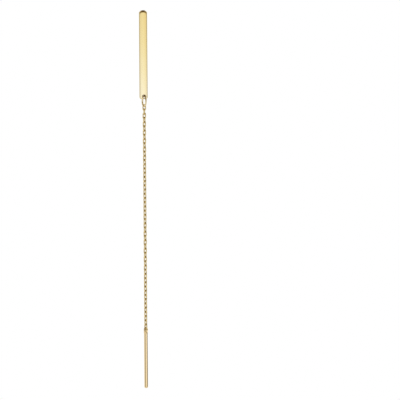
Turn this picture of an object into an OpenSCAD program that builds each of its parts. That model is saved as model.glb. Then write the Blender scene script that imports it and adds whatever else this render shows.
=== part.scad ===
// Threader dangle earring: a slim polished bar, a jump ring, a fine cable chain and a round wire pin.
// It hangs straight down from the top end of the bar. +Z is up and the bar's broad face looks along -Y.

/* [Bar] */
// Length of the bar, from the crown of its arched top end to its lower end
bar_l = 20; // [12:0.5:30]
// Width of the broad face
bar_w = 1.85; // [1.6:0.05:2.2]
// Thickness from the front face to the back face
bar_t = 0.7; // [0.6:0.05:0.75]
// Radius of the arch that the top end follows
arch_r = 1.15; // [1.15:0.05:3]
// Width of the band along the arch over which both faces roll off towards the crown
arch_roll = 0.42; // [0.3:0.01:0.42]
// Thickness left along the crown
crown_t = 0.12; // [0.1:0.01:0.2]
// Radius of the softened long edges and of the edges across the lower end
edge_r = 0.2; // [0.1:0.05:0.25]
// Radius of the two lower corners
corner_r = 0.45; // [0.3:0.05:0.6]

/* [Hole and jump ring] */
// Diameter of the hole drilled through the bar
hole_d = 0.9; // [0.86:0.02:0.9]
// Metal between the hole and the lower end of the bar
hole_rim = 0.2; // [0.2:0.01:0.3]
// Depth and width of the countersink at both mouths of the hole
sink = 0.1; // [0.08:0.01:0.12]
// How far the hole lies right of the bar's centre line
hole_x = 0.04; // [0:0.01:0.05]
// How far the jump ring, and all that hangs from it, lies right of the bar's centre line
hang_x = 0.12; // [0.05:0.01:0.12]
// Outer diameter of the jump ring
ring_d = 2.79; // [2.5:0.01:3]
// Diameter of the jump ring's wire
ring_wire = 0.34; // [0.28:0.01:0.34]
// Turn of the jump ring about the vertical, away from the hole's axis, in degrees
ring_turn = 21.5; // [0:0.5:24]
// Height above the hole's lowest point at which the ring's wire crosses it, clear of both mouths
ring_lift = 0.625; // [0.4:0.005:0.625]

/* [Chain] */
// Number of links
link_count = 53; // [11:1:75]
// Length of one link over its wire
link_l = 1.48; // [1.4:0.01:1.8]
// Width of one link over its wire
link_w = 0.85; // [0.84:0.01:1]
// Diameter of the links' wire
link_wire = 0.21; // [0.16:0.01:0.21]
// Clearance between a link and whatever it hangs in
play = 0.11; // [0.1:0.01:0.15]
// Turn of every second link about the vertical once the chain has settled, in degrees
chain_turn = -40; // [-44:1:-20]
// Number of links over which the chain turns from the jump ring to its settled turn
settle_links = 8; // [8:1:20]
// Slow twist of the settled chain to either side, in degrees
chain_sway = 6; // [0:1:10]

/* [Pin] */
// Length of the pin from the crown of its eye to its tip
pin_l = 13.75; // [8:0.05:20]
// Diameter of the round shank, which passes through the ear piercing
pin_d = 0.82; // [0.7:0.01:1]
// Diameter of the round eye into which the pin's top end is flattened
eye_d = 1.32; // [1.2:0.02:1.4]
// Thickness of the eye, whose rim is a full round
eye_t = 0.26; // [0.2:0.01:0.26]
// Diameter of the hole drilled through the eye
eye_hole = 0.46; // [0.46:0.01:0.5]
// Radius of the rounded tip's edge
tip_r = 0.3; // [0.1:0.05:0.3]
// Radius of the soft shoulder where the shank runs into the eye
shoulder_r = 0.2; // [0.1:0.01:0.25]
// Metal between the eye's hole and the shoulder
shoulder_gap = 0.1; // [0.1:0.01:0.15]

/* [Hidden] */
$fn = 48;

// Polished yellow gold
gold = [0.93, 0.82, 0.56];

// Bar: how far the cutting shapes reach past it
past = 1;
// The arch is a disc standing on edge, whose centre lies this far below the crown
arch_z = -arch_r;

// Hole
hole_z = -bar_l + hole_rim + hole_d / 2;

// Jump ring: radius of its wire's centre line and height of its centre
ring_r = (ring_d - ring_wire) / 2;
ring_z = -bar_l + hole_rim + ring_lift - ring_r;

// Chain: radius of a link's bends and length of its straight legs
bend_r = (link_w - link_wire) / 2;
leg_l = link_l - link_w;
// Distance from one link to the next
pitch = link_l - 2 * link_wire - play;
// Height of the first link's centre, hung in the lowest part of the jump ring
seat_z = ring_z - ring_r + ring_wire / 2 + play;
first_z = seat_z + link_wire - link_l / 2;
// Links in one slow twist and back
sway_links = 26;

// Pin: the last link's lowest wire is the axis on which the eye swings
axis_z = first_z - (link_count - 1) * pitch - link_l / 2 + link_wire / 2;
eye_top = axis_z + eye_d / 2;
// The shank starts within the eye, just under its hole, and ends at the tip
shank_top = axis_z - eye_hole / 2 - shoulder_gap;
tip_z = eye_top - pin_l;

// Turn of a link about the vertical: a quarter turn from link to link, on a slowly settling twist
function settled(i) = min(i / settle_links, 1);
function smooth(u) = u * u * (3 - 2 * u);
function sway(i) = chain_sway * sin(360 * i / sway_links) * smooth(settled(i));
function link_turn(i) =
    ring_turn + (chain_turn - ring_turn) * smooth(settled(i)) + sway(i) + 90 * (i % 2);

// A flat round plate standing on edge, its rim a full round
module round_rimmed_disc(r, t) {
    rotate([90, 0, 0])
        rotate_extrude()
            union() {
                translate([0, -t / 2])
                    square([r - t / 2, t]);
                intersection() {
                    translate([r - t / 2, 0])
                        circle(d = t);
                    translate([0, -t])
                        square([r, 2 * t]);
                }
            }
}

// A flat round plate standing on edge, both faces rolled off towards a thin rim
module rolled_disc(r, t, roll, rim_t) {
    drop = (t - rim_t) / 2;
    roll_r = (roll * roll + drop * drop) / (2 * drop);
    rotate([90, 0, 0])
        rotate_extrude()
            union() {
                translate([0, -t / 2])
                    square([r - roll, t]);
                intersection() {
                    translate([r - roll, t / 2 - roll_r])
                        circle(r = roll_r);
                    translate([r - roll, roll_r - t / 2])
                        circle(r = roll_r);
                    translate([0, -t])
                        square([r, 2 * t]);
                }
            }
}

// A rectangle with four round corners, centred
module rounded_rectangle(w, h, r) {
    union() {
        square([w - 2 * r, h], center = true);
        square([w, h - 2 * r], center = true);
        for (sx = [-1, 1])
            for (sy = [-1, 1])
                translate([sx * (w / 2 - r), sy * (h / 2 - r)])
                    circle(r = r);
    }
}

// The hole with a countersink at each mouth
module drilling() {
    translate([hole_x, 0, hole_z])
        rotate([90, 0, 0])
            union() {
                cylinder(d = hole_d, h = bar_t + 2 * past, center = true);
                for (face = [0, 1])
                    mirror([0, 0, face])
                        translate([0, 0, bar_t / 2 - sink])
                            cylinder(d1 = hole_d, d2 = hole_d + 2 * sink + 2 * past, h = sink + past);
            }
}

module bar() {
    color(gold)
        difference() {
            union() {
                upper_end();
                lower_length();
            }
            drilling();
        }
}

// The bar's section with its four long edges rounded, running past both ends
module long_section() {
    translate([0, 0, -bar_l - past])
        linear_extrude(bar_l + 2 * past)
            rounded_rectangle(bar_w, bar_t, edge_r);
}

// The arched end, cut from the rolled-off disc
module upper_end() {
    intersection() {
        long_section();
        translate([0, 0, arch_z])
            rolled_disc(arch_r, bar_t, arch_roll, crown_t);
    }
}

// The rest of the bar. The outline gives the lower corners, the side view the edges across the lower end.
module lower_length() {
    intersection() {
        long_section();
        translate([0, 0, (arch_z - bar_l) / 2])
            rotate([90, 0, 0])
                linear_extrude(bar_t, center = true)
                    lower_outline();
        rotate([90, 0, 90])
            linear_extrude(bar_w + 2 * past, center = true)
                side_outline();
    }
}

// Front view of the bar below the arch's centre, centred, with its two lower corners rounded
module lower_outline() {
    h = bar_l - arch_r;
    union() {
        translate([-bar_w / 2, -h / 2 + corner_r])
            square([bar_w, h - corner_r]);
        translate([-bar_w / 2 + corner_r, -h / 2])
            square([bar_w - 2 * corner_r, h]);
        for (side = [-1, 1])
            translate([side * (bar_w / 2 - corner_r), -h / 2 + corner_r])
                circle(r = corner_r);
    }
}

// Side view of the bar, open above, with the two edges across its lower end rounded
module side_outline() {
    union() {
        translate([-bar_t / 2, -bar_l + edge_r])
            square([bar_t, bar_l - edge_r + past]);
        translate([-bar_t / 2 + edge_r, -bar_l])
            square([bar_t - 2 * edge_r, bar_l]);
        for (face = [-1, 1])
            translate([face * (bar_t / 2 - edge_r), -bar_l + edge_r])
                circle(r = edge_r);
    }
}

// A round wire ring standing on edge, its near side to the right and its far side to the left
module jump_ring() {
    color(gold)
        translate([hang_x, 0, ring_z])
            rotate([0, 0, ring_turn - 90])
                rotate([90, 0, 0])
                    rotate_extrude()
                        translate([ring_r, 0])
                            circle(d = ring_wire);
}

// One upright oval link in the plane of X and Z, centred: two round bends joined by straight legs
module link() {
    union() {
        for (end = [0, 1])
            mirror([0, 0, end])
                translate([0, 0, leg_l / 2])
                    rotate([90, 0, 0])
                        rotate_extrude(angle = 180)
                            translate([bend_r, 0])
                                circle(d = link_wire);
        for (side = [-1, 1])
            translate([side * bend_r, 0, -leg_l / 2])
                cylinder(d = link_wire, h = leg_l);
    }
}

module chain() {
    color(gold)
        for (i = [0 : link_count - 1])
            translate([hang_x, 0, first_z - i * pitch])
                rotate([0, 0, link_turn(i)])
                    link();
}

// Half the shank's outline, from its axis: square above, with a soft shoulder and a rounded tip
module shank_outline() {
    h = shank_top - tip_z;
    r = pin_d / 2;
    union() {
        translate([0, tip_r])
            square([r, h - tip_r - shoulder_r]);
        square([r - tip_r, h]);
        translate([0, tip_r])
            square([r - shoulder_r, h - tip_r]);
        intersection() {
            square([r, h]);
            translate([r - tip_r, tip_r])
                circle(r = tip_r);
        }
        translate([r - shoulder_r, h - shoulder_r])
            circle(r = shoulder_r);
    }
}

// The eye stands square to the last link, whose lowest wire runs through the middle of its hole
module pin() {
    color(gold)
        translate([hang_x, 0, 0])
            difference() {
                union() {
                    translate([0, 0, axis_z])
                        rotate([0, 0, link_turn(link_count - 1) + 90])
                            round_rimmed_disc(eye_d / 2, eye_t);
                    translate([0, 0, tip_z])
                        rotate_extrude()
                            shank_outline();
                }
                translate([0, 0, axis_z])
                    rotate([0, 0, link_turn(link_count - 1) + 90])
                        rotate([90, 0, 0])
                            cylinder(d = eye_hole, h = 2 * past, center = true);
            }
}

bar();
jump_ring();
chain();
pin();
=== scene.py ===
import math

import bmesh
import bpy
import numpy as np
from mathutils import Matrix, Vector


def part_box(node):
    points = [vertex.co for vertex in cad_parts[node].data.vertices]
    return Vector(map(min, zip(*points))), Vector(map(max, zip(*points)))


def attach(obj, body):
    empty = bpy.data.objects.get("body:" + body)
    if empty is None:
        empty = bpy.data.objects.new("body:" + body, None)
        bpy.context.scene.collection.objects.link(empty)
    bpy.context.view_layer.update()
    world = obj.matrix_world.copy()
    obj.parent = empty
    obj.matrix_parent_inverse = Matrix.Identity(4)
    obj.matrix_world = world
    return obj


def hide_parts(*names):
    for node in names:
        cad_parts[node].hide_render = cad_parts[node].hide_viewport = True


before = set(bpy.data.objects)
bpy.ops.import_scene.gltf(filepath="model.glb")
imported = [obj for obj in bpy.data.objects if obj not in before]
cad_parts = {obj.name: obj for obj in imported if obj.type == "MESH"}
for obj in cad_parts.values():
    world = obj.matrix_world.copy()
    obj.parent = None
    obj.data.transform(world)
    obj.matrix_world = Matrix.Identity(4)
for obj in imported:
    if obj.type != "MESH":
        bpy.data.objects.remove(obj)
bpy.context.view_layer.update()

# The bar is the earring's face: a slim flat length of pale yellow gold, sawn from plate. Its top end is filed
# to an arch and rolled off towards a thin crown, its long edges are softened, and hand polishing leaves its
# broad faces a little rounded, with faint lines along them. A hole with broken edges is drilled near its foot.
MM = 0.001
bar_low, bar_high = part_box("bar")
bar_width = bar_high.x - bar_low.x
bar_thickness = bar_high.y - bar_low.y
face_crown = 0.03 * MM
arch_radius = 1.08 * MM
shoulder_radius = 0.2 * MM
arch_roll = 0.6 * MM
arch_drop = 0.29 * MM
arch_end_z = bar_high.z - 2.0 * MM
dome_fullness = 3.4
edge_roll = 0.22 * MM
foot_roll = 0.12 * MM
corner_radius = 0.45 * MM
hang_x = sum(corner.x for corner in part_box("jump_ring")) / 2
hole_radius = 0.35 * MM
hole_rim = 0.18 * MM
hole_break = 0.13 * MM
hole_z = bar_low.z + hole_rim + hole_radius
rows_end_z = bar_low.z + 1.7 * MM


def arc(centre_x, centre_z, radius, start, stop, steps):
    """Points of an arc in the front view, its angles in degrees from +X towards +Z."""
    angles = [math.radians(start + (stop - start) * i / steps) for i in range(steps + 1)]
    return [(centre_x + radius * math.cos(a), centre_z + radius * math.sin(a)) for a in angles]


def resampled(path, steps):
    """The same path in steps of equal length."""
    x, z = np.array(path).T
    run = np.concatenate(([0], np.cumsum(np.hypot(np.diff(x), np.diff(z)))))
    even = np.linspace(0, run[-1], steps + 1)
    return list(zip(np.interp(even, run, x), np.interp(even, run, z)))


def skin(shape, rows):
    """Faces between each closed row of points and the next."""
    for near, far in zip(rows, rows[1:]):
        for i in range(len(near)):
            j = (i + 1) % len(near)
            shape.faces.new((near[i], near[j], far[j], far[i]))


def closed_mesh(name, shape):
    """The mesh of a shape that has all its faces, with every face turned outward."""
    bmesh.ops.recalc_face_normals(shape, faces=shape.faces)
    mesh = bpy.data.meshes.new(name)
    shape.to_mesh(mesh)
    shape.free()
    return mesh


def face_height(x):
    """Height of the slightly crowned broad faces over the bar's middle plane."""
    return bar_thickness / 2 - face_crown * (x / (bar_width / 2)) ** 2


def right_rim(arch_steps, side_steps, hole_steps):
    """Down the bar's right side: points of the outline, each with the point where its roll meets the face."""
    half = bar_width / 2
    arch_z = bar_high.z - arch_radius
    shoulder_x = half - shoulder_radius
    shoulder_z = arch_z + math.sqrt((arch_radius - shoulder_radius) ** 2 - shoulder_x**2)
    lean = math.degrees(math.atan2(shoulder_z - arch_z, shoulder_x))
    crown = arc(0, arch_z, arch_radius, 90, lean, 40)
    shoulder = arc(shoulder_x, shoulder_z, shoulder_radius, lean, 0, 8)[1:]
    outer = resampled(crown + shoulder + [(half, arch_end_z)], arch_steps)
    rise = bar_high.z - arch_roll - arch_end_z
    power = 2 / dome_fullness
    dome = []
    for x, z in arc(0, 0, 1, 90, 0, 60):
        dome.append((abs(x) ** power * (half - edge_roll), arch_end_z + abs(z) ** power * rise))
    rim = list(zip(outer, resampled(dome, arch_steps)))

    corner_x = half - corner_radius
    corner_z = bar_low.z + corner_radius
    heights = list(np.linspace(arch_end_z, rows_end_z, side_steps + 1)[1:])
    heights += list(np.linspace(rows_end_z, corner_z, hole_steps + 1)[1:])
    rim += [((half, z), (half - edge_roll, z)) for z in heights]

    corner_steps = 10
    turn = arc(corner_x, corner_z, corner_radius, 0, -90, corner_steps)
    for i in range(1, corner_steps + 1):
        roll = edge_roll + (foot_roll - edge_roll) * i / corner_steps
        x, z = turn[i]
        share = 1 - roll / corner_radius
        rim.append(((x, z), (corner_x + (x - corner_x) * share, corner_z + (z - corner_z) * share)))
    return rim


def roll_point(station, share, side):
    """A point of a rolled edge, from the face at share 0 to the rim at share 1, on the front or the back."""
    (out_x, out_z), (in_x, in_z) = station
    width = math.hypot(out_x - in_x, out_z - in_z)
    wide = min(max((width - edge_roll) / (arch_roll - edge_roll), 0), 1)
    rim_drop = min(width, edge_roll) + (arch_drop - edge_roll) * wide
    top = face_height(in_x)
    drop = top - (bar_thickness / 2 - rim_drop)
    radius = (width**2 + drop**2) / (2 * drop)
    angle = math.asin(min(width / radius, 1)) * share
    reach = radius * math.sin(angle) / width
    height = top - radius * (1 - math.cos(angle))
    return in_x + (out_x - in_x) * reach, side * height, in_z + (out_z - in_z) * reach


def face_in_rows(shape, edge, row_count, side):
    """Lays a broad face in rows, from the crown down to just above the hole, and gives back the last row."""
    columns = 10
    above = [edge[0]] * (columns + 1)
    for j in range(1, row_count + 1):
        left, right = edge[-j], edge[j]
        between = [left.co.lerp(right.co, i / columns) for i in range(1, columns)]
        inner = [shape.verts.new((p.x, side * face_height(p.x), p.z)) for p in between]
        below = [left, *inner, right]
        for i in range(columns):
            # The first row starts in one point, so each of its faces has one corner fewer.
            corners = dict.fromkeys((above[i], above[i + 1], below[i + 1], below[i]))
            shape.faces.new(tuple(corners))
        above = below
    return above


def hole_rings(shape, around, side):
    """Rings of points from the face around the hole to its mouth, and over its broken edge into the bore."""
    mouth = hole_radius + hole_break
    angles = [math.atan2(v.co.z - hole_z, v.co.x - hang_x) for v in around]
    lips = [(hang_x + mouth * math.cos(a), hole_z + mouth * math.sin(a)) for a in angles]
    rings = [around]
    for share in (0.67, 0.33, 0.08, 0):
        ring = []
        for v, (lip_x, lip_z) in zip(around, lips):
            x = lip_x + (v.co.x - lip_x) * share
            z = lip_z + (v.co.z - lip_z) * share
            ring.append(shape.verts.new((x, side * face_height(x), z)))
        rings.append(ring)
    for turn in (15, 30, 45, 60, 75, 90):
        radius = mouth - hole_break * math.sin(math.radians(turn))
        sunk = hole_break * (1 - math.cos(math.radians(turn)))
        ring = []
        for angle, (lip_x, _) in zip(angles, lips):
            x = hang_x + radius * math.cos(angle)
            z = hole_z + radius * math.sin(angle)
            ring.append(shape.verts.new((x, side * (face_height(lip_x) - sunk), z)))
        rings.append(ring)
    return rings


def bar_mesh():
    """The whole bar: rolled rims, faces in rows above the hole and in rings around it, and the bore."""
    arch_steps, side_steps, hole_steps, roll_steps = 28, 16, 6, 8
    right = right_rim(arch_steps, side_steps, hole_steps)
    left = [tuple((-x, z) for x, z in station) for station in right]
    foot_x = right[-1][0][0]
    foot = [((x, bar_low.z), (x, bar_low.z + foot_roll)) for x in np.linspace(foot_x, -foot_x, 9)[1:-1]]
    loop = right + foot + left[:0:-1]
    row_count = arch_steps + side_steps
    shape = bmesh.new()
    rims, bores = [], []
    for side in (-1, 1):
        shares = [i / roll_steps for i in range(roll_steps + 1)]
        rim = [[shape.verts.new(roll_point(station, share, side)) for station in loop] for share in shares]
        edge = rim[0]
        lowest = face_in_rows(shape, edge, row_count, side)
        around = edge[row_count : len(loop) - row_count + 1] + lowest[1:-1]
        rims.append(rim)
        bores.append(hole_rings(shape, around, side))
    skin(shape, rims[0] + rims[1][::-1])
    skin(shape, bores[0] + bores[1][::-1])
    return closed_mesh("bar_gold", shape)


def placed(name, data):
    """An object that holds this mesh, lamp or camera, put into the scene."""
    made = bpy.data.objects.new(name, data)
    bpy.context.scene.collection.objects.link(made)
    return made


def finished(piece, sharp_angle):
    """Applies a piece's modifiers and shades it smooth, keeping edges over the angle crisp and flats flat."""
    graph = bpy.context.evaluated_depsgraph_get()
    mesh = bpy.data.meshes.new_from_object(piece.evaluated_get(graph))
    piece.modifiers.clear()
    piece.data = mesh
    mesh.shade_smooth()
    mesh.set_sharp_from_angle(angle=math.radians(sharp_angle))
    weighted = piece.modifiers.new("even shading", "WEIGHTED_NORMAL")
    weighted.keep_sharp = True
    graph = bpy.context.evaluated_depsgraph_get()
    shaded = bpy.data.meshes.new_from_object(piece.evaluated_get(graph))
    piece.modifiers.clear()
    piece.data = shaded


def add_node(tree, kind, values=None, **settings):
    """Adds a node with its settings, and sets or links its inputs by name or number."""
    made = tree.nodes.new(kind)
    for name, value in settings.items():
        setattr(made, name, value)
    for key, value in (values or {}).items():
        if isinstance(value, bpy.types.NodeSocket):
            tree.links.new(value, made.inputs[key])
        else:
            made.inputs[key].default_value = value
    return made


def maths(tree, operation, *terms):
    """The result of a sum on one or more terms, each a number or a socket."""
    return add_node(tree, "ShaderNodeMath", dict(enumerate(terms)), operation=operation).outputs[0]


def add_group(tree, group, values):
    """Adds a node that holds a shared effect, with its constant values set on the node."""
    made = tree.nodes.new("ShaderNodeGroup")
    made.node_tree = group
    for name, value in values.items():
        made.inputs[name].default_value = value
    return made


def polish_group():
    """Hand polishing: faint lines along Z, a soft waviness and cloudy patches, as masks and a height."""
    group = bpy.data.node_groups.new("hand_polish", "ShaderNodeTree")
    for name in ("Line Spacing", "Line Length", "Wave Size", "Line Depth", "Wave Depth"):
        group.interface.new_socket(name, in_out="INPUT", socket_type="NodeSocketFloat")
    for name in ("Lines", "Clouds", "Height"):
        group.interface.new_socket(name, in_out="OUTPUT", socket_type="NodeSocketFloat")
    given = group.nodes.new("NodeGroupInput").outputs
    place = group.nodes.new("ShaderNodeTexCoord").outputs["Object"]
    across = maths(group, "DIVIDE", 1.0, given["Line Spacing"])
    along = maths(group, "DIVIDE", 1.0, given["Line Length"])
    stretch = add_node(group, "ShaderNodeCombineXYZ", {0: across, 1: across, 2: along}).outputs[0]
    drawn = add_node(group, "ShaderNodeVectorMath", {0: place, 1: stretch}, operation="MULTIPLY").outputs[0]
    lines = add_node(group, "ShaderNodeTexNoise", {"Vector": drawn, "Scale": 1.0, "Detail": 3.0}).outputs[0]
    swell = maths(group, "DIVIDE", 1.0, given["Wave Size"])
    clouds = add_node(group, "ShaderNodeTexNoise", {"Vector": place, "Scale": swell, "Detail": 1.0}).outputs[0]
    fine = maths(group, "MULTIPLY", lines, given["Line Depth"])
    broad = maths(group, "MULTIPLY", clouds, given["Wave Depth"])
    leaving = group.nodes.new("NodeGroupOutput").inputs
    group.links.new(lines, leaving["Lines"])
    group.links.new(clouds, leaving["Clouds"])
    group.links.new(maths(group, "ADD", fine, broad), leaving["Height"])
    return group


def painted_crevice_shade_group():
    """A mask of the crevices, found by ambient occlusion, where shade is painted into the colour as a dark
    tint.
    """
    group = bpy.data.node_groups.new("painted_crevice_shade", "ShaderNodeTree")
    for name in ("Reach", "Amount"):
        group.interface.new_socket(name, in_out="INPUT", socket_type="NodeSocketFloat")
    group.interface.new_socket("Painted Shade", in_out="OUTPUT", socket_type="NodeSocketFloat")
    given = group.nodes.new("NodeGroupInput").outputs
    # Ambient occlusion finds the crevices where shade falls, and the mask paints that shade into the colour.
    nearby = add_node(group, "ShaderNodeAmbientOcclusion", {"Distance": given["Reach"]}, samples=6)
    open_to_closed = {"Value": nearby.outputs["AO"], "From Min": 0.9, "From Max": 0.2}
    closed = add_node(group, "ShaderNodeMapRange", open_to_closed).outputs[0]
    painted_shade = maths(group, "MULTIPLY", closed, given["Amount"])
    group.links.new(painted_shade, group.nodes.new("NodeGroupOutput").inputs[0])
    return group


def hole_group():
    """A mask of the metal close to a hole along Y: 1 within its radius and 0 from its mouth outwards."""
    group = bpy.data.node_groups.new("drilled_hole", "ShaderNodeTree")
    for name in ("Right", "Height", "Radius", "Mouth"):
        group.interface.new_socket(name, in_out="INPUT", socket_type="NodeSocketFloat")
    group.interface.new_socket("Inside", in_out="OUTPUT", socket_type="NodeSocketFloat")
    given = group.nodes.new("NodeGroupInput").outputs
    place = group.nodes.new("ShaderNodeTexCoord").outputs["Object"]
    flat = add_node(group, "ShaderNodeVectorMath", {0: place, 1: (1, 0, 1)}, operation="MULTIPLY").outputs[0]
    centre = add_node(group, "ShaderNodeCombineXYZ", {"X": given["Right"], "Z": given["Height"]}).outputs[0]
    away = add_node(group, "ShaderNodeVectorMath", {0: flat, 1: centre}, operation="DISTANCE").outputs["Value"]
    inside = add_node(
        group,
        "ShaderNodeMapRange",
        {"Value": away, "From Min": given["Radius"], "From Max": given["Mouth"], "To Min": 1.0, "To Max": 0.0},
    ).outputs[0]
    group.links.new(inside, group.nodes.new("NodeGroupOutput").inputs[0])
    return group


def gold_finish(name, pale, deep, smooth, dull, shade_reach, shade_amount, polish):
    """Polished gold between two tints and two roughnesses, with polishing marks and painted shade darkening
    its crevices.
    """
    # The dark brown of the shade painted into crevices.
    painted_shade_colour = (0.1, 0.065, 0.025, 1)
    gold = bpy.data.materials.new(name)
    gold.use_nodes = True
    tree = gold.node_tree
    surface = tree.nodes["Principled BSDF"].inputs
    surface["Metallic"].default_value = 1.0
    marks = add_group(tree, hand_polish, polish).outputs
    painted_shade = add_group(tree, painted_crevice_shade, {"Reach": shade_reach, "Amount": shade_amount}).outputs["Painted Shade"]
    tint = add_node(tree, "ShaderNodeMix", {0: marks["Clouds"], 6: pale, 7: deep}, data_type="RGBA").outputs[2]
    with_painted_shade = add_node(tree, "ShaderNodeMix", {0: painted_shade, 6: tint, 7: painted_shade_colour}, data_type="RGBA").outputs[2]
    rough = add_node(
        tree,
        "ShaderNodeMapRange",
        {"Value": marks["Lines"], "From Min": 0.3, "From Max": 0.7, "To Min": smooth, "To Max": dull},
    ).outputs[0]
    bump = add_node(tree, "ShaderNodeBump", {"Height": marks["Height"], "Strength": 1.0, "Distance": 1.0})
    tree.links.new(with_painted_shade, surface["Base Color"])
    tree.links.new(rough, surface["Roughness"])
    tree.links.new(bump.outputs[0], surface["Normal"])
    return gold


def paint_hole_shade(gold):
    """Paints shade into the metal in the bar's hole as a darker colour, and dulls its finish, out to its
    broken edge.
    """
    hole_shade_colour = (0.45, 0.31, 0.12, 1)
    bore_roughness = 0.4
    tree = gold.node_tree
    surface = tree.nodes["Principled BSDF"].inputs
    tint = surface["Base Color"].links[0].from_socket
    rough = surface["Roughness"].links[0].from_socket
    place = {"Right": hang_x, "Height": hole_z}
    reach = {"Radius": hole_radius + 0.75 * hole_break, "Mouth": hole_radius + 1.15 * hole_break}
    inside = add_group(tree, hole_group(), place | reach).outputs["Inside"]
    # Painted shade: inside the hole the colour is darkened towards a dull brown.
    hole_shaded = add_node(tree, "ShaderNodeMix", {0: inside, 6: tint, 7: hole_shade_colour}, data_type="RGBA")
    dulled = add_node(tree, "ShaderNodeMix", {0: inside, 2: rough, 3: bore_roughness}, data_type="FLOAT")
    tree.links.new(hole_shaded.outputs[2], surface["Base Color"])
    tree.links.new(dulled.outputs[0], surface["Roughness"])


bar = placed("bar_gold", bar_mesh())
finished(bar, sharp_angle=40)
hand_polish = polish_group()
painted_crevice_shade = painted_crevice_shade_group()
bar_gold = gold_finish(
    "polished_bar_gold",
    pale=(0.935, 0.765, 0.405, 1),
    deep=(0.925, 0.75, 0.385, 1),
    smooth=0.07,
    dull=0.1,
    shade_reach=0.3 * MM,
    shade_amount=0.8,
    polish={
        "Line Spacing": 0.3 * MM,
        "Line Length": 6 * MM,
        "Wave Size": 5 * MM,
        "Line Depth": 0.0001 * MM,
        "Wave Depth": 0.002 * MM,
    },
)
paint_hole_shade(bar_gold)
bar.data.materials.append(bar_gold)
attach(bar, "bar_and_chain")
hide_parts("bar")

# The jump ring joins the chain to the bar: a short length of round gold wire, bent to a ring through the
# hole, its ends closed and soldered. It hangs turned to one side, so it looks oval from the front.
ring_low, ring_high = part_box("jump_ring")
ring_wire = 0.39 * MM
ring_top_drop = 0.135 * MM
ring_top = ring_high.z - ring_top_drop
ring_radius = (ring_top - ring_low.z - ring_wire) / 2
ring_turn = math.radians(22.5)
solder_swell = 0.14
solder_reach = math.radians(12)


def ring_mesh():
    """The ring standing on edge and turned about the vertical, with a bead of solder inside its top."""
    steps, sides = 96, 20
    shape = bmesh.new()
    rings = []
    for i in range(steps):
        around = math.tau * i / steps
        from_top = abs((around + math.pi / 2) % math.tau - math.pi)
        thick = ring_wire / 2 * (1 + solder_swell * math.exp(-((from_top / solder_reach) ** 2)))
        ring = []
        for k in range(sides):
            side = math.tau * k / sides
            reach = ring_radius + ring_wire / 2 - thick + thick * math.cos(side)
            place = (reach * math.cos(around), thick * math.sin(side), reach * math.sin(around))
            ring.append(shape.verts.new(place))
        rings.append(ring)
    skin(shape, rings + rings[:1])
    mesh = closed_mesh("jump_ring_gold", shape)
    centre = Vector((hang_x, 0, (ring_low.z + ring_top) / 2))
    mesh.transform(Matrix.Translation(centre) @ Matrix.Rotation(ring_turn - math.pi / 2, 4, "Z"))
    mesh.shade_smooth()
    return mesh


jump_ring = placed("jump_ring_gold", ring_mesh())
wire_polish = {
    "Line Spacing": 0.25 * MM,
    "Line Length": 1.2 * MM,
    "Wave Size": 0.9 * MM,
    "Line Depth": 0.001 * MM,
    "Wave Depth": 0.004 * MM,
}
ring_gold = gold_finish(
    "polished_ring_gold",
    pale=(0.93, 0.80, 0.52, 1),
    deep=(0.91, 0.76, 0.46, 1),
    smooth=0.12,
    dull=0.18,
    shade_reach=0.5 * MM,
    shade_amount=0.12,
    polish=wire_polish,
)
jump_ring.data.materials.append(ring_gold)
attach(jump_ring, "bar_and_chain")
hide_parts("jump_ring")

# The chain is a fine cable chain of oval wire links, each closed and soldered round the one above and turned
# a quarter turn from it. It hangs from the jump ring to the pin's eye, on a slow twist of its own.
pin_low, pin_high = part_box("pin")
eye_radius = 0.66 * MM
eye_hole_radius = 0.17 * MM
eye_hole_rise = 0.06 * MM
chain_turn = math.radians(-40)


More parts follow.
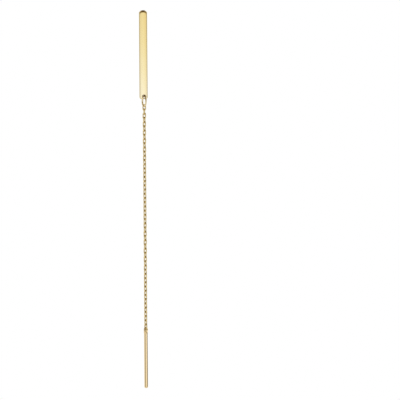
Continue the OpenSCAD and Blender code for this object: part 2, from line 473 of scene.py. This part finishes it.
def chain_tree():
    """Oval links hung one in the next between two heights, turned on a settling twist."""
    tree = bpy.data.node_groups.new("cable_chain", "GeometryNodeTree")
    lengths = ("Top", "Bottom", "Right", "Width", "Wire")
    turns = ("First Turn", "Settled Turn", "Sway", "Unevenness")
    for name in lengths + turns:
        tree.interface.new_socket(name, in_out="INPUT", socket_type="NodeSocketFloat")
    for name in ("Links", "Settling Links", "Sway Links"):
        tree.interface.new_socket(name, in_out="INPUT", socket_type="NodeSocketInt")
    tree.interface.new_socket("Finish", in_out="INPUT", socket_type="NodeSocketMaterial")
    tree.interface.new_socket("Geometry", in_out="OUTPUT", socket_type="NodeSocketGeometry")
    given = tree.nodes.new("NodeGroupInput").outputs

    def result(operation, *terms):
        return maths(tree, operation, *terms)

    pitch = result("DIVIDE", result("SUBTRACT", given["Top"], given["Bottom"]), given["Links"])
    bend = result("MULTIPLY", result("SUBTRACT", given["Width"], given["Wire"]), 0.5)
    thin = result("MULTIPLY", given["Wire"], 0.5)
    half_leg = result("SUBTRACT", result("MULTIPLY", result("ADD", pitch, given["Wire"]), 0.5), bend)

    # The oval is a circle whose halves are moved apart. Half a step's turn first keeps its points off the cut.
    points = 36
    round_bend = {"Resolution": points, "Radius": bend}
    circle = add_node(tree, "GeometryNodeCurvePrimitiveCircle", round_bend).outputs[0]
    half_step = {"Geometry": circle, "Rotation": (0, 0, math.pi / points)}
    turned = add_node(tree, "GeometryNodeTransform", half_step).outputs[0]
    position = tree.nodes.new("GeometryNodeInputPosition").outputs[0]
    place = add_node(tree, "ShaderNodeSeparateXYZ", {0: position}).outputs
    height = result("MULTIPLY_ADD", result("SIGN", place["Y"]), half_leg, place["Y"])
    upright = add_node(tree, "ShaderNodeCombineXYZ", {"X": place["X"], "Z": height}).outputs[0]
    oval = add_node(tree, "GeometryNodeSetPosition", {"Geometry": turned, "Position": upright}).outputs[0]
    section = add_node(tree, "GeometryNodeCurvePrimitiveCircle", {"Resolution": 12, "Radius": thin}).outputs[0]
    link = add_node(tree, "GeometryNodeCurveToMesh", {"Curve": oval, "Profile Curve": section}).outputs[0]

    start_z = result("MULTIPLY_ADD", pitch, -0.5, given["Top"])
    start = add_node(tree, "ShaderNodeCombineXYZ", {"X": given["Right"], "Z": start_z}).outputs[0]
    step = add_node(tree, "ShaderNodeCombineXYZ", {"Z": result("MULTIPLY", pitch, -1.0)}).outputs[0]
    line = {"Count": given["Links"], "Start Location": start, "Offset": step}
    places = add_node(tree, "GeometryNodeMeshLine", line).outputs[0]

    index = tree.nodes.new("GeometryNodeInputIndex").outputs[0]
    settled = add_node(
        tree,
        "ShaderNodeMapRange",
        {"Value": index, "From Min": 0.0, "From Max": given["Settling Links"], "To Min": 0.0, "To Max": 1.0},
        interpolation_type="SMOOTHSTEP",
    ).outputs[0]
    twist = result("MULTIPLY", result("SUBTRACT", given["Settled Turn"], given["First Turn"]), settled)
    wave = result("SINE", result("MULTIPLY", result("DIVIDE", index, given["Sway Links"]), math.tau))
    sway = result("MULTIPLY", result("MULTIPLY", wave, given["Sway"]), settled)
    quarter = result("MULTIPLY", result("FLOORED_MODULO", index, 2.0), math.pi / 2)
    turn = result("ADD", result("ADD", given["First Turn"], twist), result("ADD", sway, quarter))

    def uneven(seed):
        """A small tilt of its own for each link, to either side."""
        least = result("MULTIPLY", given["Unevenness"], -1.0)
        values = {"ID": index, "Seed": seed, 2: least, 3: given["Unevenness"]}
        return add_node(tree, "FunctionNodeRandomValue", values, data_type="FLOAT").outputs[1]

    tilts = {"X": uneven(1), "Y": uneven(2), "Z": result("ADD", turn, uneven(3))}
    rotation = add_node(tree, "ShaderNodeCombineXYZ", tilts).outputs[0]
    hanging = {"Points": places, "Instance": link, "Rotation": rotation}
    hung = add_node(tree, "GeometryNodeInstanceOnPoints", hanging).outputs[0]
    real = add_node(tree, "GeometryNodeRealizeInstances", {0: hung}).outputs[0]
    smooth = add_node(tree, "GeometryNodeSetShadeSmooth", {"Geometry": real}).outputs[0]
    finish = {"Geometry": smooth, "Material": given["Finish"]}
    done = add_node(tree, "GeometryNodeSetMaterial", finish).outputs[0]
    tree.links.new(done, tree.nodes.new("NodeGroupOutput").inputs[0])
    return tree


wire_gold = gold_finish(
    "polished_wire_gold",
    pale=(0.93, 0.75, 0.38, 1),
    deep=(0.9, 0.70, 0.32, 1),
    smooth=0.12,
    dull=0.18,
    shade_reach=0.4 * MM,
    shade_amount=0.5,
    polish=wire_polish,
)
chain = placed("chain_gold", bpy.data.meshes.new("chain_gold"))
links = chain.modifiers.new("links", "NODES")
links.node_group = chain_tree()
chain_values = {
    "Top": ring_low.z + ring_wire,
    "Bottom": pin_high.z - eye_radius + eye_hole_rise + eye_hole_radius,
    "Right": hang_x,
    "Width": 0.85 * MM,
    "Wire": 0.28 * MM,
    "First Turn": math.radians(-10),
    "Settled Turn": chain_turn,
    "Sway": math.radians(6),
    "Unevenness": math.radians(1.5),
    "Links": 53,
    "Settling Links": 4,
    "Sway Links": 26,
    "Finish": wire_gold,
}
for socket in links.node_group.interface.items_tree:
    if socket.name in chain_values:
        links[socket.identifier] = chain_values[socket.name]
graph = bpy.context.evaluated_depsgraph_get()
chain.data = bpy.data.meshes.new_from_object(chain.evaluated_get(graph))
chain.modifiers.clear()
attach(chain, "bar_and_chain")
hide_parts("chain")

# The pin threads through the ear piercing and draws the chain after it: a straight round gold wire with a
# rounded tip. Its top end is hammered flat to a round eye, then drilled, and hangs in the chain's last link.
pin_radius = 0.41 * MM
tip_radius = 0.3 * MM
eye_half = 0.13 * MM
eye_break = 0.04 * MM
eye_centre = Vector((hang_x, 0, pin_high.z - eye_radius))
eye_turn = chain_turn + math.pi / 2
eye_across = Vector((math.cos(eye_turn), math.sin(eye_turn), 0))
eye_through = Vector((-eye_across.y, eye_across.x, 0))
neck_swell = 0.1 * MM
neck_length = 1.1 * MM
swell_start, swell_end = 0.3 * MM, 1.0 * MM
flat_end, round_start = 0.12 * MM, 0.62 * MM


def eased(value, start, stop):
    """A smooth step from 0 to 1 as the value passes from start to stop."""
    share = min(max((value - start) / (stop - start), 0), 1)
    return share * share * (3 - 2 * share)


def pin_section(z):
    """Half the width and half the thickness of the pin at this height, measured along and across its eye."""
    below = eye_centre.z - z
    disc = math.sqrt(max(eye_radius**2 - below**2, 0))
    if below < 0:
        past_rim = max(-below - (eye_radius - eye_half), 0) / eye_half
        return disc, min(disc, eye_half * math.sqrt(max(1 - past_rim**2, 0)))
    # The round eye runs softly into the swollen neck, and that into the shank.
    neck = (disc**10 + (pin_radius + neck_swell) ** 10) ** 0.1
    wide = neck + (pin_radius - neck) * eased(below, swell_start, swell_end)
    thick = eye_half + (pin_radius - eye_half) * eased(below, flat_end, round_start)
    return wide, thick


def pin_blank():
    """The pin with its flattened eye, before the hole is drilled, as one skin from the tip to the crown."""
    sides = 64
    crown_angles = (8, 16, 24, 32, 40, 47, 53, 59, 65, 71, 76, 81, 85, 88)
    tip = arc(pin_radius - tip_radius, pin_low.z + tip_radius, tip_radius, -90, 0, 10)
    tip.insert(0, (0.3 * (pin_radius - tip_radius), pin_low.z))
    neck_z = eye_centre.z - neck_length
    heights = list(np.linspace(tip[-1][1], neck_z, 17)[1:])
    heights += list(np.linspace(neck_z, eye_centre.z, 37)[1:])
    heights += [eye_centre.z + eye_radius * math.sin(math.radians(angle)) for angle in crown_angles]
    rows = [(radius, radius, z) for radius, z in tip]
    rows += [(*pin_section(z), z) for z in heights]
    shape = bmesh.new()
    rings = []
    for wide, thick, z in rows:
        ring = []
        for k in range(sides):
            side = math.tau * k / sides
            along = (wide - thick) * math.sin(math.pi / 2 * math.cos(side)) + thick * math.cos(side)
            place = eye_across * along + eye_through * (thick * math.sin(side))
            ring.append(shape.verts.new((hang_x + place.x, place.y, z)))
        rings.append(ring)
    skin(shape, rings)
    shape.faces.new(rings[0])
    shape.faces.new(rings[-1])
    return closed_mesh("pin_gold", shape)


def drill_mesh():
    """What the drill takes out of the eye: a round bore that flares at both faces, to break its edges."""
    steps = 40
    past_face = 0.2 * MM
    flare = eye_hole_radius + eye_break
    lip = arc(flare, eye_half - eye_break, eye_break, 180, 90, 6)
    lip.append((flare, eye_half + past_face))
    angles = [math.tau * i / steps for i in range(steps)]
    shape = bmesh.new()
    rings = []
    for radius, height in [(radius, -height) for radius, height in reversed(lip)] + lip:
        rings.append([shape.verts.new((radius * math.cos(a), radius * math.sin(a), height)) for a in angles])
    skin(shape, rings)
    shape.faces.new(rings[0])
    shape.faces.new(rings[-1])
    mesh = closed_mesh("eye_drill", shape)
    along_hole = eye_through.to_track_quat("Z", "Y").to_matrix().to_4x4()
    mesh.transform(Matrix.Translation(eye_centre + Vector((0, 0, eye_hole_rise))) @ along_hole)
    return mesh


pin = placed("pin_gold", pin_blank())
eye_drill = placed("eye_drill", drill_mesh())
drilling = pin.modifiers.new("eye hole", "BOOLEAN")
drilling.object = eye_drill
drilling.solver = "EXACT"
finished(pin, sharp_angle=50)
bpy.data.objects.remove(eye_drill)
pin_gold = gold_finish(
    "polished_pin_gold",
    pale=(0.94, 0.735, 0.41, 1),
    deep=(0.91, 0.695, 0.37, 1),
    smooth=0.1,
    dull=0.15,
    shade_reach=0.25 * MM,
    shade_amount=0.1,
    polish={
        "Line Spacing": 0.25 * MM,
        "Line Length": 5 * MM,
        "Wave Size": 2 * MM,
        "Line Depth": 0.0004 * MM,
        "Wave Depth": 0.001 * MM,
    },
)
pin.data.materials.clear()
pin.data.materials.append(pin_gold)
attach(pin, "pin")
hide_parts("pin")

# The studio: a pale matt floor well below the hanging earring, lit from above, and a white backdrop. The
# metal mirrors a bright screen in front, greyer walls to both sides, a bright room behind and a dark ceiling.
floor_drop = 40 * MM
floor_radius = 200 * MM
floor_mesh = bpy.data.meshes.new("floor")
floor_rim = [(x, y, pin_low.z - floor_drop) for x, y in arc(0, 0, floor_radius, 0, 360, 96)[:-1]]
floor_mesh.from_pydata(floor_rim, [], [list(range(len(floor_rim)))])
matt_floor = bpy.data.materials.new("matt_floor")
matt_floor.use_nodes = True
floor_surface = matt_floor.node_tree.nodes["Principled BSDF"].inputs
floor_surface["Base Color"].default_value = (0.86, 0.86, 0.85, 1)
floor_surface["Roughness"].default_value = 0.9
floor_mesh.materials.append(matt_floor)
floor = placed("floor", floor_mesh)

lamp = bpy.data.lights.new("floor_lamp", "AREA")
lamp.shape = "DISK"
lamp.size = 400 * MM
lamp.energy = 1.5
floor_lamp = placed("floor_lamp", lamp)
floor_lamp.location = (0, 0, 400 * MM)
floor_lamp.visible_camera = False
floor_lamp.visible_glossy = False

world = bpy.data.worlds.new("white_studio")
bpy.context.scene.world = world
world.use_nodes = True
sky = world.node_tree
sky.nodes.clear()


def ramp(value, low, high, stops):
    """Shades along a value between two limits, as stops of a value with its grey or its colour."""
    share = add_node(sky, "ShaderNodeMapRange", {"Value": value, "From Min": low, "From Max": high})
    shades = add_node(sky, "ShaderNodeValToRGB", {0: share.outputs[0]})
    places = [(at - low) / (high - low) for at, _ in stops]
    made = shades.color_ramp.elements
    made[1].position = places[-1]
    made[0].position = places[0]
    for place in places[1:-1]:
        made.new(place)
    for stop, (_, shade) in zip(made, stops):
        stop.color = (*shade, 1) if isinstance(shade, tuple) else (shade, shade, shade, 1)
    return shades.outputs[0]


def mixed(share, first, second, blend="MIX"):
    """The first shade at share 0 and, at share 1, the second one, or both blended."""
    values = {0: share, 6: first, 7: second}
    return add_node(sky, "ShaderNodeMix", values, data_type="RGBA", blend_type=blend).outputs[2]


# Directions in degrees: the compass is 0 in front of the bar and 90 at its right, the rise 90 overhead.
direction = sky.nodes.new("ShaderNodeTexCoord").outputs["Generated"]
toward = add_node(sky, "ShaderNodeSeparateXYZ", {0: direction}).outputs
ahead = maths(sky, "MULTIPLY", toward["Y"], -1.0)
compass = maths(sky, "MULTIPLY", maths(sky, "ARCTAN2", toward["X"], ahead), 180 / math.pi)
rise = maths(sky, "MULTIPLY", maths(sky, "ARCSINE", toward["Z"]), 180 / math.pi)

# The room's brightness around the bar, above and below its own height, with the screen in front.
walls_above = ramp(
    compass,
    -180,
    180,
    [
        (-180, 1.0),
        (-125, 0.95),
        (-108, 0.62),
        (-78, 0.6),
        (-70, 0.48),
        (-20, 0.48),
        (-12, 0.88),
        (-3, 1.0),
        (0, (1.0, 1.0, 0.95)),
        (3, (0.94, 0.89, 0.79)),
        (6, (0.88, 0.83, 0.76)),
        (14, (0.95, 0.91, 0.85)),
        (24, 1.0),
        (34, 0.28),
        (92, 0.34),
        (100, 1.0),
        (180, 1.0),
    ],
)
walls_below = ramp(
    compass,
    -180,
    180,
    [
        (-180, 1.0),
        (-125, 0.95),
        (-85, 0.8),
        (-70, 0.44),
        (-22, 0.44),
        (-12, 0.8),
        (-2, 1.0),
        (6, 1.12),
        (59, 1.12),
        (64, 0.24),
        (116, 0.24),
        (140, 0.7),
        (180, 1.0),
    ],
)
walls = mixed(ramp(rise, -10, 10, [(-3.5, 0), (0.5, 1)]), walls_below, walls_above)

# The screen is neutral low down, bluish in the middle and warm higher up.
screen_tint = ramp(
    rise,
    -10,
    10,
    [
        (-8, (0.9, 0.9, 0.92)),
        (-4, (0.95, 0.95, 1.02)),
        (-2, (1.0, 1.05, 1.3)),
        (0.5, (1.1, 1.28, 1.94)),
        (2.0, (1.12, 1.3, 2.0)),
        (3.0, (1.07, 1.19, 1.65)),
        (4.2, (0.985, 1.02, 0.95)),
        (5.2, (0.93, 0.91, 0.8)),
        (8, (0.86, 0.8, 0.62)),
    ],
)
screen_share = ramp(compass, -180, 180, [(-20, 0), (-12, 1), (60, 1), (68, 0)])
front_screen = mixed(screen_share, (1, 1, 1, 1), screen_tint)
room = mixed(1.0, walls, front_screen, "MULTIPLY")
ground = (0.83, 0.83, 0.83, 1)
surroundings = mixed(ramp(rise, -90, 90, [(-16, 0), (-8, 1)]), ground, room)

# The ceiling is dark, glows warmly at both sides and begins lower in front than behind.
dark = (0.13, 0.095, 0.06)
ceiling_glow = ramp(
    compass,
    -180,
    180,
    [
        (-150, dark),
        (-130, (0.48, 0.43, 0.33)),
        (-55, (0.42, 0.37, 0.27)),
        (-20, dark),
        (12, dark),
        (40, (0.27, 0.235, 0.17)),
        (100, (0.5, 0.45, 0.36)),
        (125, dark),
    ],
)
ceiling = mixed(ramp(rise, -90, 90, [(62, 0), (80, 1)]), ceiling_glow, (*dark, 1))
ceiling_in_front = ramp(rise, -90, 90, [(12, 0), (24, 1)])
ceiling_behind = ramp(rise, -90, 90, [(38, 0), (50, 1)])
behind = ramp(toward["Y"], -1, 1, [(-0.2, 0), (0.6, 1)])
mirrored = mixed(mixed(behind, ceiling_in_front, ceiling_behind), surroundings, ceiling)
seen_in_metal = add_node(sky, "ShaderNodeBackground", {"Color": mirrored, "Strength": 1.0}).outputs[0]
backdrop = add_node(sky, "ShaderNodeBackground", {"Color": (1, 1, 1, 1), "Strength": 1.0}).outputs[0]
looked_at = sky.nodes.new("ShaderNodeLightPath").outputs["Is Camera Ray"]
either = add_node(sky, "ShaderNodeMixShader", {0: looked_at, 1: seen_in_metal, 2: backdrop}).outputs[0]
add_node(sky, "ShaderNodeOutputWorld", {0: either})

# The camera stands level, square to the bar's face, with the earring left of the middle of the picture. The
# photograph is 400 pixels across, each 0.225 mm at the earring, which leans by a fraction of a degree.
picture_width = 400 * 0.225 * MM
picture_x = 12.52 * MM
picture_z = -42.8 * MM
lean = math.radians(0.41)
camera = bpy.data.cameras.new("camera")
camera.sensor_width = 36
camera.lens = 180
camera.clip_start = 0.01
viewer = placed("camera", camera)
viewer.location = (picture_x, -picture_width * camera.lens / camera.sensor_width, picture_z)
viewer.rotation_euler = (math.pi / 2, lean, 0)
bpy.context.scene.camera = viewer
bpy.context.scene.view_settings.view_transform = "Standard"
